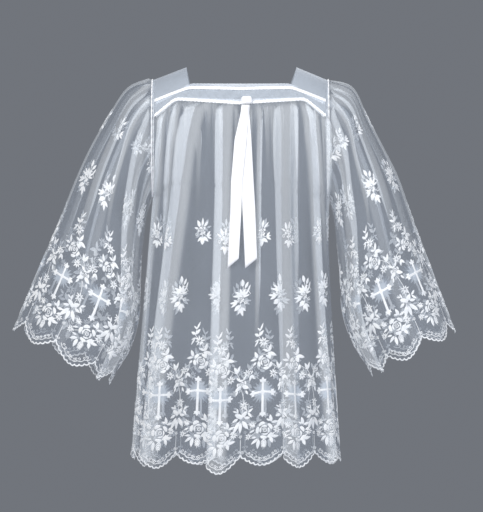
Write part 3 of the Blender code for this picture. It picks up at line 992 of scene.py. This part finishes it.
# Columns: height, waves across, drift down
YOKE_CREASES = ((0.0013, 38.0, 7.0), (0.0010, 71.0, -9.0))
SHOULDER_COLUMNS = 17
SHOULDER_ROWS = 49
TAPE_WIDTH = 0.007
TAPE_END = 0.975
TAPE_THICK = 0.0011
TAPE_LIFT = 0.0016
TAPE_COLUMNS = 320
TAPE_SIDES = 12
SEAM_STEPS = 220
SEAM_SIDES = 8
SEAM_THICK = 0.0010
SEAM_WAVE = 0.0002
SEAM_LIFT = 0.0012
SEAM_SPREAD = 1.3


def yoke_shares(side, limit=1.0, count=YOKE_COLUMNS):
    """Places across the yoke, left to right as seen from outside."""
    shares = np.linspace(-limit, limit, count + 1)
    return shares * -FACING[side]


def yoke_piece(side):
    share = yoke_shares(side)
    neck = yoke_height(side, share, 1)
    seam = yoke_height(side, share, 2) + SEAM_GAP
    rows = []
    for down in np.linspace(0.0, 1.0, YOKE_ROWS + 1):
        free = math.sin(math.pi * down)
        creases = sum(height * np.sin(waves * share + drift * down)
                      for height, waves, drift in YOKE_CREASES)
        rows.append(form_points(side, share, neck + (seam - neck) * down, free * creases))
    faces = grid_faces(YOKE_ROWS + 1, len(share))
    return mesh_piece("net_yoke_" + side, np.vstack(rows), faces, "plain_net", ("yoke_" + side,))


def tape_piece(side, which):
    """A folded tape with round edges, puckered a little where the net is gathered."""
    column = {"neck": 1, "gather": 2}[which]
    above = {"neck": 0.0, "gather": TAPE_WIDTH / 2}[which]
    pucker = {"neck": 0.0002, "gather": 0.0005}[which]
    share = yoke_shares(side, TAPE_END, TAPE_COLUMNS)
    level = yoke_height(side, share, column) + above
    level = level + pucker * np.sin(150.0 * share) + 0.6 * pucker * np.sin(237.0 * share)
    profile = []
    for k in range(TAPE_SIDES):
        turn = 2.0 * math.pi * k / TAPE_SIDES
        drop = TAPE_WIDTH * (0.5 - 0.5 * signed_power(math.cos(turn), 0.6))
        out = TAPE_THICK * 0.5 * signed_power(math.sin(turn), 0.7)
        profile.append((drop, out))
    loops = []
    for drop, out in profile:
        line = form_points(side, share, level - drop)
        lift = TAPE_LIFT + TAPE_THICK / 2 + out
        loops.append(line + np.array((0.0, FACING[side] * lift, 0.0)))
    points = np.stack(loops, axis=1).reshape(-1, 3)
    faces = list(grid_faces(len(share), len(profile), closed=True))
    last = (len(share) - 1) * len(profile)
    faces.append(range(len(profile)))
    faces.append(range(last + len(profile) - 1, last - 1, -1))
    name = "tape_" + which + "_" + side
    return mesh_piece(name, points, faces, "bias_tape", (which + "_tape_" + side,))


def shoulder_piece(name, hand):
    """The flat over one shoulder, from the front yoke's neck edge to the back one's."""
    rows = []
    share = np.linspace(NECK_CORNER, 1.0, SHOULDER_COLUMNS)[::int(hand)]
    corner = hand * NECK_RIDGE_HALF_WIDTH
    low = YOKE["front"][-1][1]
    seam_angle = math.acos((low - ARMHOLE_MIDDLE) / ARMHOLE_HALF_HEIGHT)
    for place in np.linspace(1.0, -1.0, SHOULDER_ROWS):
        side = "front" if place < 0 else "back"
        seam = form_points(side, hand * share, yoke_height(side, share, 1))
        turn = abs(place) * seam_angle
        climb = (math.cos(turn) - math.cos(seam_angle)) / (1.0 - math.cos(seam_angle))
        across = (share - NECK_CORNER) / (1.0 - NECK_CORNER)
        ridge_x = corner + (MIDDLE_X + hand * TOP_HALF_WIDTH - corner) * across
        ridge_z = (ARMHOLE_MIDDLE + ARMHOLE_HALF_HEIGHT) * across
        x = seam[:, 0] + (ridge_x - seam[:, 0]) * climb
        y = seam[:, 1] * math.sin(turn) / math.sin(seam_angle)
        z = seam[:, 2] + (ridge_z - seam[:, 2]) * climb
        rows.append(np.stack([x, y, z], axis=1))
    faces = grid_faces(SHOULDER_ROWS, SHOULDER_COLUMNS)
    return mesh_piece("net_" + name, np.vstack(rows), faces, "plain_net", (name,))


def armhole_seam(name, hand):
    """The narrow white seam where a sleeve is set in."""
    ring_x = SLEEVES[hand][0][0]
    rows = []
    for k in range(SEAM_STEPS):
        turn = 2.0 * math.pi * k / SEAM_STEPS
        thick = SEAM_THICK + SEAM_WAVE * math.sin(61.0 * turn) + SEAM_WAVE * math.sin(37.0 * turn)
        outward = np.array((0.0, math.sin(turn), math.cos(turn)))
        middle = np.array((ring_x, ARMHOLE_HALF_DEPTH * math.sin(turn),
                           ARMHOLE_MIDDLE + ARMHOLE_HALF_HEIGHT * math.cos(turn)))
        middle = middle + outward * SEAM_LIFT
        for j in range(SEAM_SIDES):
            way = 2.0 * math.pi * j / SEAM_SIDES
            rows.append(middle + outward * thick * math.cos(way)
                        + np.array((thick * SEAM_SPREAD * math.sin(way), 0.0, 0.0)))
    faces = []
    for k in range(SEAM_STEPS):
        near, far = k * SEAM_SIDES, (k + 1) % SEAM_STEPS * SEAM_SIDES
        for j in range(SEAM_SIDES):
            side = (j + 1) % SEAM_SIDES
            faces.append((near + j, near + side, far + side, far + j))
    return mesh_piece(name, rows, faces, "bias_tape")


# --- Ribbon -----------------------------------------------------------------------------

# Columns: height, left edge, right edge
TAILS = {
    "ribbon_tail_left": np.array((
        (-0.0915, 0.000, 0.016),
        (-0.108, -0.0015, 0.0165),
        (-0.173, -0.0160, 0.0120),
        (-0.270, -0.0240, 0.0020),
        (-0.330, -0.0255, 0.0000),
        (-0.445, -0.0320, -0.0064),
    )),
    "ribbon_tail_right": np.array((
        (-0.0915, 0.005, 0.019),
        (-0.108, 0.0010, 0.0179),
        (-0.173, -0.0020, 0.0227),
        (-0.270, 0.0005, 0.0280),
        (-0.330, 0.0020, 0.0315),
        (-0.445, 0.0082, 0.0355),
    )),
}
TAIL_LIFT = {"ribbon_tail_left": 0.0135, "ribbon_tail_right": 0.0115}
TAIL_SLANT = 0.022
TAIL_THICK = 0.0006
TAIL_PLEAT = 0.0011
TAIL_SWAY = 0.0012


def tail_piece(name):
    """One hanging end: satin that opens out from the knot, cut on the slant."""
    table = TAILS[name][::-1]
    rows, columns = 60, 14
    top, bottom = table[-1][0], table[0][0]
    front = []
    for r in range(rows + 1):
        down = r / rows
        z = top + (bottom - top) * down
        left = np.interp(z, table[:, 0], table[:, 1])
        right = np.interp(z, table[:, 0], table[:, 2])
        across = np.linspace(0.0, 1.0, columns + 1)
        x = left + (right - left) * across
        height = z - TAIL_SLANT * (1.0 - across) * down ** 8
        share = (x - MIDDLE_X) / half_width(height)
        surface = form_points("front", share, height)[:, 1]
        pleats = TAIL_PLEAT * (1.0 - down) ** 2 * np.cos(across * 2.0 * math.pi * 2.5)
        sway = TAIL_SWAY * math.sin(5.0 * down + 1.0) * (across - 0.5)
        y = surface - TAIL_LIFT[name] - pleats - sway
        front.append(np.stack([x, y, height], axis=1))
    front = np.array(front)
    back = front + np.array((0.0, TAIL_THICK, 0.0))
    return solid_sheet("satin_" + name, front, back, "satin_ribbon", (name,))


def solid_sheet(name, face, reverse, slot, replaces):
    """A closed thin sheet between two grids of points."""
    rows, columns = face.shape[:2]
    count = rows * columns
    points = np.vstack([face.reshape(-1, 3), reverse.reshape(-1, 3)])
    quads = grid_faces(rows, columns)
    faces = list(quads) + [quad[::-1] + count for quad in quads]
    edge = list(range(columns))
    edge += [r * columns + columns - 1 for r in range(1, rows)]
    edge += [(rows - 1) * columns + c for c in range(columns - 2, -1, -1)]
    edge += [r * columns for r in range(rows - 2, 0, -1)]
    for a, b in zip(edge, edge[1:] + edge[:1]):
        faces.append((a, b, b + count, a + count))
    return mesh_piece(name, points, faces, slot, replaces)


def knot_piece():
    """The knot: a soft square pad of satin, wrapped across and creased."""
    low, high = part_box("ribbon_knot")
    middle = (np.array(low) + np.array(high)) / 2
    size = (np.array(high) - np.array(low)) / 2
    rows, columns = 40, 56
    points = []
    for r in range(rows + 1):
        tilt = math.pi * (r / rows - 0.5)
        for c in range(columns):
            turn = 2.0 * math.pi * c / columns
            ring = abs(math.cos(tilt)) ** 0.5
            x = ring * signed_power(math.cos(turn), 0.55)
            y = ring * signed_power(math.sin(turn), 0.8)
            z = signed_power(math.sin(tilt), 0.6)
            crease = 1.0 - 0.10 * math.cos(9.0 * z + 2.0 * x) * (y < 0)
            waist = 1.0 - 0.10 * (1.0 - abs(x)) * (1.0 if abs(z) > 0.7 else 0.0)
            points.append(middle + size * np.array((x, y * crease, z * waist)))
    faces = grid_faces(rows + 1, columns, closed=True)
    mesh_piece("satin_ribbon_knot", points, faces, "satin_ribbon", ("ribbon_knot",))


# --- Making -----------------------------------------------------------------------------

CAMERA_DISTANCE = 9.0
CAMERA_LEVEL = -0.439
SENSOR = 36.0
VIEW_HEIGHT = 1.178
FRONT_DEPTH = 0.10
FLOOR_LEVEL = -1.45
FLOOR_RADIUS = 1.8
FLOOR_SIDES = 64
SEE_THROUGH_LAYERS = 48
LIGHTS_AIM = (0.0, 0.0, -0.45)
# Columns: name, place, size, power, colour
LIGHTS = (
    ("key", (-1.6, -2.6, 1.2), 1.6, 100.0, (1.0, 1.0, 1.0)),
    ("fill", (2.2, -2.2, 0.2), 2.0, 62.0, (0.95, 0.97, 1.0)),
    ("rim", (0.6, 2.4, 1.4), 1.8, 95.0, (0.96, 0.98, 1.0)),
)


def make_camera():
    """A level camera far in front, which frames the front of the garment."""
    camera = new_object("camera", bpy.data.cameras.new("camera"))
    camera.location = (0.0, -CAMERA_DISTANCE, CAMERA_LEVEL)
    camera.rotation_euler = (math.radians(90.0), 0.0, 0.0)
    camera.data.lens = SENSOR * (CAMERA_DISTANCE - FRONT_DEPTH) / VIEW_HEIGHT
    bpy.context.scene.camera = camera


def area_light(name, place, size, power, colour):
    data = bpy.data.lights.new(name, "AREA")
    data.size = size
    data.energy = power
    data.color = colour
    light = new_object(name, data)
    light.location = place
    x, y, z = np.array(LIGHTS_AIM) - np.array(place)
    tilt = math.atan2(math.hypot(x, y), -z)
    light.rotation_euler = (tilt, 0.0, math.atan2(y, x) - math.pi / 2)


def make_studio():
    """Plain soft light from three sides, an even surround and a round floor."""
    world = bpy.data.worlds.new("studio")
    world.use_nodes = True
    sky = world.node_tree.nodes["Background"]
    sky.inputs["Color"].default_value = (0.165, 0.177, 0.20, 1.0)
    sky.inputs["Strength"].default_value = 1.0
    bpy.context.scene.world = world
    for light in LIGHTS:
        area_light(*light)
    floor = bpy.data.meshes.new("floor")
    ring = [(*away(0.0, 0.0, FLOOR_RADIUS, 360.0 * k / FLOOR_SIDES), FLOOR_LEVEL)
            for k in range(FLOOR_SIDES)]
    floor.from_pydata(ring, [], [tuple(range(FLOOR_SIDES))])
    floor.materials.append(principled("floor", (0.40, 0.42, 0.46), 0.8)[0])
    disc = new_object("floor", floor)
    scene = bpy.context.scene
    scene.view_settings.view_transform = "Standard"
    scene.cycles.transparent_max_bounces = SEE_THROUGH_LAYERS


def make_garment():
    """The bodies with their yokes and tapes, the shoulders, the sleeves and the ribbon."""
    for side in ("front", "back"):
        cloth = body_cloth(side)
        net = net_piece("net_body_" + side, cloth, BODY_NET_ROWS, BODY_PHASE[side], False,
                        "body_" + side)
        stitches = embroider("body_" + side, cloth, BODY_PHASE[side], SPRIG_MOVES[side])
        yoke = yoke_piece(side)
        gather = tape_piece(side, "gather")
        neck = tape_piece(side, "neck")
    for name, hand in (("shoulder_left", -1.0), ("shoulder_right", 1.0)):
        flat = shoulder_piece(name, hand)
    for hand in ("left", "right"):
        cloth = sleeve_cloth(hand)
        phase = SLEEVE_PHASE[hand]
        net = net_piece("net_sleeve_" + hand, cloth, SLEEVE_NET_ROWS, phase, True,
                        "sleeve_" + hand)
        stitches = embroider("sleeve_" + hand, cloth, phase, SPRIG_MOVES["sleeve"])
        seam = armhole_seam("seam_armhole_" + hand, hand)
    knot_piece()
    for name in TAILS:
        tail = tail_piece(name)


make_camera()
make_studio()
make_garment()
